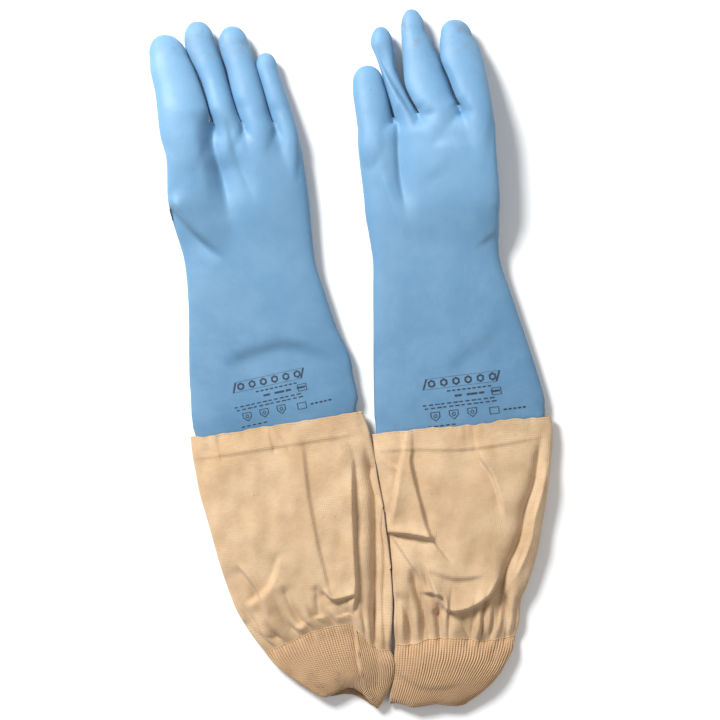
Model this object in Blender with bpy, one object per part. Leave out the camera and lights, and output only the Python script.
"""A pair of beekeeping gloves lying flat, backs of the hands up and thumbs tucked under the palms.

Each glove is a dipped rubber shell (palm, gauntlet, thumb and four fingers) with a woven cotton
sleeve sewn over its cuff and a rib knit cuff sewn to the sleeve. The shell is one skin, divided here
at the lines where it bends. Every piece is a hollow tube, open where the hand or arm goes through.
Blender is in metres. The tables of this file are in millimetres and MM turns them to metres.
+Y runs to the fingertips, +Z is up, and the origin is at the middle of the pair's footprint.
"""

import math

import bmesh
import bpy
from mathutils import Vector

MM = 0.001

# Driving dimensions, in millimetres.
RUBBER_WALL = 1.0
CLOTH_WALL = 1.0
KNIT_WALL = 1.5
HINGE_GAP = 0.5
LAYER_GAP = 0.5
FINGER_GAP = 1.8
FINGER_THICK = 17.0
THUMB_THICK = 12.4
HEM_THICK = 15.6
HEM_WIDTH = 22.0
STITCH_RUN = 1.2
STITCH_GAP = 0.4
STITCH_INSET = 0.2
SEAM_STRIP_WIDTH = 7.0
SEAM_STRIP_THICK = 0.8
SEAM_STRIP_AT = 0.72
WIDE_SIDES = 20
FINGER_SIDES = 12
WIDE_SQUARENESS = 0.72
ROUND_SQUARENESS = 0.95
CUTTER_REACH = 6.0
THUMB_CUTTER_REACH = 17.0

# A wide section is (left x, left y, left z, right x, right y, right z, thickness), z at mid-thickness.
# A digit's section is (x, y, z, width), from the knuckle to the last full section, then the tip's x, y, z.
RIGHT = {
    "palm": [
        (-133.0, 158.2, 28.0, -36.4, 158.2, 10.0, 20.0),
        (-129.5, 133.0, 28.0, -32.2, 133.0, 10.0, 20.0),
        (-127.4, 111.0, 26.0, -29.4, 110.0, 9.5, 19.0),
        (-125.3, 100.8, 13.5, -28.7, 100.8, 9.3, 18.5),
        (-119.7, 80.5, 9.0, -27.0, 80.5, 9.0, 18.0),
    ],
    "gauntlet": [
        (-119.5, 80.0, 9.0, -27.0, 80.0, 9.0, 18.0),
        (-115.5, 42.0, 8.5, -17.5, 42.0, 8.5, 17.0),
        (-114.8, 0.0, 7.5, -2.8, 3.5, 7.5, 15.0),
        (-110.4, -54.0, 7.8, 3.0, -36.0, 7.8, 12.0),
        (-107.6, -70.0, 7.8, 5.6, -51.5, 7.8, 12.0),
    ],
    "hem": (-113.2, -54.6, 5.6, -36.4),
    "sleeve": [
        (-102.2, -109.2, 17.9, -91.0, 16.0),
        (-91.0, -145.6, 24.2, -129.5, 16.0),
        (-77.7, -177.8, 26.3, -164.5, 15.0),
        (-60.5, -204.5, 27.0, -194.5, 12.0),
    ],
    "cuff": [
        (-48.5, -218.5, 29.0, -215.0, 12.0),
        (-33.0, -229.5, 26.0, -231.0, 11.0),
        (-19.5, -236.5, 17.0, -243.0, 10.0),
    ],
    "digits": {
        "index": (
            [(-115.9, 158.7, 24.8, 34.5), (-119.0, 178.5, 22.6, 33.0), (-124.6, 199.5, 17.5, 30.0), (-128.8, 217.0, 13.0, 23.0)],
            (-132.3, 228.0, 11.0),
        ),
        "middle": (
            [(-87.5, 158.7, 19.5, 20.4), (-92.0, 178.5, 16.0, 20.0), (-98.5, 199.5, 12.0, 21.0), (-105.0, 217.5, 9.7, 22.4)],
            (-108.2, 237.3, 9.0),
        ),
        "ring": (
            [(-66.0, 158.7, 15.6, 22.2), (-71.2, 178.5, 13.0, 21.8), (-77.0, 199.5, 10.4, 22.6), (-81.9, 217.0, 9.2, 21.6)],
            (-84.5, 234.5, 8.8),
        ),
        "little": (
            [(-45.6, 158.7, 12.0, 18.2), (-50.2, 175.0, 10.6, 18.0), (-55.2, 192.5, 9.4, 17.2), (-59.2, 204.4, 9.0, 14.8)],
            (-61.7, 215.6, 8.7),
        ),
    },
    "thumb": (
        [(-114.8, 109.5, 6.4, 24.0), (-118.3, 128.0, 6.4, 25.0), (-121.8, 150.5, 6.4, 23.5), (-126.0, 170.0, 6.4, 18.5)],
        (-128.8, 181.0, 6.4),
    ),
}
LEFT = {
    "palm": [
        (3.5, 161.0, 10.0, 99.8, 177.8, 28.0, 20.0),
        (5.2, 138.0, 10.0, 101.2, 146.0, 28.0, 20.0),
        (8.2, 110.0, 9.5, 103.3, 112.0, 26.0, 19.0),
        (9.6, 100.8, 9.3, 103.2, 101.5, 13.5, 18.5),
        (12.3, 80.5, 9.0, 102.6, 80.5, 9.0, 18.0),
    ],
    "gauntlet": [
        (12.3, 80.0, 9.0, 102.6, 80.0, 9.0, 18.0),
        (14.7, 42.0, 8.5, 112.7, 42.0, 8.5, 17.0),
        (14.7, 0.0, 7.5, 126.7, 3.5, 7.5, 15.0),
        (16.6, -51.0, 7.8, 135.8, -39.0, 7.8, 12.0),
        (18.2, -67.0, 7.8, 135.6, -54.0, 7.8, 12.0),
    ],
    "hem": (13.6, -51.6, 139.3, -39.2),
    "sleeve": [
        (23.8, -105.0, 134.4, -100.0, 16.0),
        (27.7, -140.0, 127.8, -140.0, 16.0),
        (29.6, -168.0, 118.6, -168.0, 15.0),
        (31.2, -199.5, 115.6, -194.5, 12.0),
    ],
    "cuff": [
        (33.5, -216.3, 107.8, -212.8, 12.0),
        (31.8, -231.0, 95.2, -228.2, 11.0),
        (30.5, -239.5, 77.0, -241.0, 10.0),
    ],
    "digits": {
        "little": (
            [(16.6, 163.8, 12.4, 25.2), (13.6, 182.0, 10.6, 25.0), (12.3, 194.0, 9.4, 21.0)],
            (10.8, 207.0, 8.8),
        ),
        "ring": (
            [(38.2, 167.6, 16.4, 16.8), (33.0, 185.5, 13.4, 16.4), (27.0, 199.5, 10.8, 14.2), (23.1, 213.5, 9.4, 14.4), (19.8, 226.5, 9.0, 14.8)],
            (20.0, 235.0, 8.8),
        ),
        "middle": (
            [(62.3, 171.8, 21.0, 29.2), (55.2, 189.0, 16.6, 29.6), (49.3, 210.0, 12.2, 26.0), (44.6, 227.5, 9.8, 19.6)],
            (43.2, 246.7, 8.8),
        ),
        "index": (
            [(88.4, 176.4, 25.9, 22.4), (81.8, 192.5, 22.0, 25.6), (76.8, 210.0, 16.0, 28.2), (73.4, 226.0, 12.0, 22.6)],
            (70.9, 238.5, 10.6),
        ),
    },
    "thumb": (
        [(91.0, 111.0, 6.4, 24.0), (92.2, 129.0, 6.4, 25.0), (91.5, 150.5, 6.4, 23.5), (88.6, 170.0, 6.4, 18.5)],
        (86.3, 181.0, 6.4),
    ),
}

COLOURS = {
    "rubber": ((0.30, 0.53, 0.75, 1.0), 0.55),
    "cotton": ((0.83, 0.63, 0.40, 1.0), 0.90),
    "knit": ((0.72, 0.52, 0.31, 1.0), 0.95),
    "thread": ((0.80, 0.62, 0.40, 1.0), 0.85),
}


def clear_scene():
    for old in list(bpy.data.objects):
        bpy.data.objects.remove(old)


def material(name):
    made = bpy.data.materials.get(name)
    if made is None:
        colour, roughness = COLOURS[name]
        made = bpy.data.materials.new(name)
        made.use_nodes = True
        shader = made.node_tree.nodes["Principled BSDF"]
        shader.inputs["Base Color"].default_value = colour
        shader.inputs["Roughness"].default_value = roughness
        shader.inputs["Metallic"].default_value = 0.0
    return made


def object_from(bm, name, finish):
    """One named object from a bmesh in millimetres, smooth across its shallow edges."""
    bmesh.ops.recalc_face_normals(bm, faces=bm.faces)
    bmesh.ops.scale(bm, vec=(MM, MM, MM), verts=bm.verts)
    mesh = bpy.data.meshes.new(name)
    bm.to_mesh(mesh)
    bm.free()
    mesh.shade_smooth()
    mesh.set_sharp_from_angle(angle=math.radians(40))
    made = bpy.data.objects.new(name, mesh)
    made.data.materials.append(material(finish))
    bpy.context.scene.collection.objects.link(made)
    return made


def signed_power(value, power):
    return math.copysign(abs(value) ** power, value)


def unit_section(sides, squareness):
    """Points of a flattened round from -1 to 1, with flats at the very top and bottom."""
    turns = [2 * math.pi * (i + 0.5) / sides for i in range(sides)]
    points = [(signed_power(math.cos(a), squareness), signed_power(math.sin(a), squareness)) for a in turns]
    across = max(p[0] for p in points)
    high = max(p[1] for p in points)
    return [(p[0] / across, p[1] / high) for p in points]


def section(left, right, thick, sides, squareness):
    """A ring in the upright plane through two edge points, which may be at different heights."""
    middle = (left + right) / 2
    half = (right - left) / 2
    along = half.normalized()
    normal = (Vector((0, 0, 1)) - along * along.z).normalized()
    return [middle + half * u + normal * (v * thick / 2) for u, v in unit_section(sides, squareness)]


def inset_edges(left, right, by):
    step = (right - left).normalized() * by
    return left + step, right - step


def wide_edges(row):
    return Vector(row[0:3]), Vector(row[3:6])


def wide_ring(row, inset=0.0):
    left, right = inset_edges(*wide_edges(row), inset)
    return section(left, right, row[6] - 2 * inset, WIDE_SIDES, WIDE_SQUARENESS)


def bridge(bm, ring_a, ring_b):
    count = len(ring_a)
    for i in range(count):
        bm.faces.new((ring_a[i], ring_a[(i + 1) % count], ring_b[(i + 1) % count], ring_b[i]))


def fan(bm, ring, apex):
    count = len(ring)
    for i in range(count):
        bm.faces.new((ring[i], ring[(i + 1) % count], apex))


def skin(bm, rings):
    """The rings as vertices, bridged one to the next."""
    made = [[bm.verts.new(p) for p in ring] for ring in rings]
    for ring_a, ring_b in zip(made, made[1:]):
        bridge(bm, ring_a, ring_b)
    return made


def open_tube(name, finish, outer, inner):
    """A tube with a wall, open at both ends."""
    bm = bmesh.new()
    outside = skin(bm, outer)
    inside = skin(bm, inner)
    bridge(bm, outside[0], inside[0])
    bridge(bm, outside[-1], inside[-1])
    return object_from(bm, name, finish)


def blind_tube(name, finish, outer, inner, tip_out, tip_in):
    """A tube with a wall, open at its first ring and closed to a tip."""
    bm = bmesh.new()
    outside = skin(bm, outer)
    inside = skin(bm, inner)
    bridge(bm, outside[0], inside[0])
    fan(bm, outside[-1], bm.verts.new(tip_out))
    fan(bm, inside[-1], bm.verts.new(tip_in))
    return object_from(bm, name, finish)


def solid_between(name, finish, rings):
    """A closed solid through the rings, capped flat at both ends."""
    bm = bmesh.new()
    made = skin(bm, rings)
    bm.faces.new(made[0])
    bm.faces.new(made[-1])
    return object_from(bm, name, finish)


def across(row):
    """Unit vector from a section's left edge to its right edge."""
    left, right = wide_edges(row)
    return (right - left).normalized()


def digit_ring(station, along, thick, inset=0.0, ahead=0.0):
    """A digit's section, square to the knuckle line that its glove shares."""
    x, y, z, width = station
    forward = Vector((-along.y, along.x, 0)).normalized() * ahead
    centre = Vector((x, y, z)) + forward
    half = along * ((width - FINGER_GAP) / 2 - inset)
    return section(centre - half, centre + half, thick - 2 * inset, FINGER_SIDES, ROUND_SQUARENESS)


def tip_rings(stations, tip, along, thick, inset):
    """Two shrinking sections that round a digit's end, from its last full section to its tip."""
    last = Vector(stations[-1][:3])
    end = Vector(tip) - (Vector(tip) - last).normalized() * inset
    rings = []
    for share in (0.55, 0.85):
        shrink = math.sqrt(1 - share**2)
        centre = last.lerp(end, share)
        half = along * (((stations[-1][3] - FINGER_GAP) / 2 - inset) * shrink)
        rings.append(section(centre - half, centre + half, (thick - 2 * inset) * shrink, FINGER_SIDES, ROUND_SQUARENESS))
    return rings, end


def make_digit(name, stations, tip, along, thick):
    """A hollow finger or thumb, open at the knuckle."""
    outer = [digit_ring(s, along, thick) for s in stations]
    inner = [digit_ring(s, along, thick, RUBBER_WALL) for s in stations]
    round_out, end_out = tip_rings(stations, tip, along, thick, 0.0)
    round_in, end_in = tip_rings(stations, tip, along, thick, RUBBER_WALL)
    return blind_tube(name, "rubber", outer + round_out, inner + round_in, end_out, end_in)


def digit_cutter(name, station, along, thick, reach):
    """A prism of the digit's bore that reaches back through the palm's wall."""
    back = digit_ring(station, along, thick, RUBBER_WALL, -reach)
    front = digit_ring(station, along, thick, RUBBER_WALL, reach)
    cutter = solid_between(name, "rubber", [back, front])
    cutter.hide_render = True
    cutter.display_type = "WIRE"
    return cutter


def cut(target, cutter):
    modifier = target.modifiers.new(cutter.name, "BOOLEAN")
    modifier.operation = "DIFFERENCE"
    modifier.solver = "EXACT"
    modifier.object = cutter


def make_palm(side, plan):
    """The palm and back of the hand: open at the wrist, with a hole for each digit."""
    rows = plan["palm"]
    outer = [wide_ring(r) for r in rows]
    inner = [wide_ring(r, RUBBER_WALL) for r in rows]
    along = across(rows[0])
    forward = Vector((-along.y, along.x, 0)).normalized()
    inner[0] = [p - forward * RUBBER_WALL for p in inner[0]]
    bm = bmesh.new()
    outside = skin(bm, outer)
    inside = skin(bm, inner)
    bm.faces.new(outside[0])
    bm.faces.new(inside[0])
    bridge(bm, outside[-1], inside[-1])
    palm = object_from(bm, f"{side}_palm_shell", "rubber")
    for digit, (stations, _) in plan["digits"].items():
        name = f"{side}_{digit}_hole"
        cut(palm, digit_cutter(name, stations[0], along, FINGER_THICK, CUTTER_REACH))
    level = Vector((along.x, along.y, 0)).normalized()
    cut(palm, digit_cutter(f"{side}_thumb_hole", plan["thumb"][0][0], level, THUMB_THICK, THUMB_CUTTER_REACH))
    return palm


def make_gauntlet(side, plan):
    rows = plan["gauntlet"]
    outer = [wide_ring(r) for r in rows]
    inner = [wide_ring(r, RUBBER_WALL) for r in rows]
    return open_tube(f"{side}_gauntlet_shell", "rubber", outer, inner)


def hem_rows(plan):
    """The top and bottom sections of the sleeve's turned hem, which stands around the rubber cuff."""
    left_x, left_y, right_x, right_y = plan["hem"]
    centre = HEM_THICK / 2
    top = (left_x, left_y, centre, right_x, right_y, centre, HEM_THICK)
    bottom = shifted(top, HEM_WIDTH)
    return top, bottom


def shifted(row, by):
    """A section moved towards the knit cuff, square to its own line."""
    left, right = wide_edges(row)
    back = Vector(((right - left).y, -(right - left).x, 0)).normalized() * by
    return (*(left + back), *(right + back), row[6])


def flat_row(short):
    """A section that lies on the floor, from its edges and its thickness."""
    left_x, left_y, right_x, right_y, thick = short
    return (left_x, left_y, thick / 2, right_x, right_y, thick / 2, thick)


def make_hem(side, plan):
    rows = hem_rows(plan)
    outer = [wide_ring(r) for r in rows]
    inner = [wide_ring(r, CLOTH_WALL) for r in rows]
    return open_tube(f"{side}_sleeve_hem", "cotton", outer, inner)


def make_hem_stitching(side, plan):
    """The ring of thread that draws the turned edge of the hem onto the rubber."""
    top, _ = hem_rows(plan)
    rows = [shifted(top, -STITCH_GAP - STITCH_RUN), shifted(top, -STITCH_GAP)]
    outer = [wide_ring(r, STITCH_INSET) for r in rows]
    inner = [wide_ring(r, CLOTH_WALL) for r in rows]
    return open_tube(f"{side}_hem_stitching", "thread", outer, inner)


def sleeve_rows(plan):
    _, hem_end = hem_rows(plan)
    return [shifted(hem_end, HINGE_GAP)] + [flat_row(r) for r in plan["sleeve"]]


def make_sleeve(side, plan):
    rows = sleeve_rows(plan)
    outer = [wide_ring(r) for r in rows]
    inner = [wide_ring(r, CLOTH_WALL) for r in rows]
    return open_tube(f"{side}_sleeve", "cotton", outer, inner)


def make_side_seam(side, plan):
    """The felled seam that closes the sleeve, a strip along the inside of its lower wall."""
    low = CLOTH_WALL + LAYER_GAP
    rings = []
    for row in sleeve_rows(plan):
        left, right = wide_edges(row)
        along = (right - left).normalized() * (SEAM_STRIP_WIDTH / 2)
        centre = left.lerp(right, SEAM_STRIP_AT)
        centre.z = low
        up = Vector((0, 0, SEAM_STRIP_THICK))
        rings.append([centre - along, centre + along, centre + along + up, centre - along + up])
    return solid_between(f"{side}_side_seam", "thread", rings)


def make_cuff_stitching(side, plan):
    """The overlocked ring that joins the gathered sleeve to the knit cuff."""
    end = sleeve_rows(plan)[-1]
    rows = [shifted(end, STITCH_GAP), shifted(end, STITCH_GAP + STITCH_RUN)]
    outer = [wide_ring(r) for r in rows]
    inner = [wide_ring(r, CLOTH_WALL) for r in rows]
    return open_tube(f"{side}_cuff_stitching", "thread", outer, inner)


def make_rib_cuff(side, plan):
    end = sleeve_rows(plan)[-1]
    first = shifted(end, 2 * STITCH_GAP + STITCH_RUN)
    rows = [first] + [flat_row(r) for r in plan["cuff"]]
    outer = [wide_ring(r) for r in rows]
    inner = [wide_ring(r, KNIT_WALL) for r in rows]
    return open_tube(f"{side}_rib_cuff", "knit", outer, inner)


def make_glove(side, plan):
    """All the pieces of one glove."""
    along = across(plan["palm"][0])
    level = Vector((along.x, along.y, 0)).normalized()
    made = [make_palm(side, plan), make_gauntlet(side, plan)]
    for digit, (stations, tip) in plan["digits"].items():
        made.append(make_digit(f"{side}_{digit}_shell", stations, tip, along, FINGER_THICK))
    stations, tip = plan["thumb"]
    made.append(make_digit(f"{side}_thumb_shell", stations, tip, level, THUMB_THICK))
    made += [make_hem(side, plan), make_hem_stitching(side, plan)]
    made += [make_sleeve(side, plan), make_side_seam(side, plan)]
    made += [make_cuff_stitching(side, plan), make_rib_cuff(side, plan)]
    return made


def main():
    clear_scene()
    pair = bpy.data.objects.new("pair", None)
    bpy.context.scene.collection.objects.link(pair)
    for side, plan in (("right", RIGHT), ("left", LEFT)):
        glove = bpy.data.objects.new(f"{side}_glove", None)
        glove.parent = pair
        bpy.context.scene.collection.objects.link(glove)
        for piece in make_glove(side, plan):
            piece.parent = glove


main()
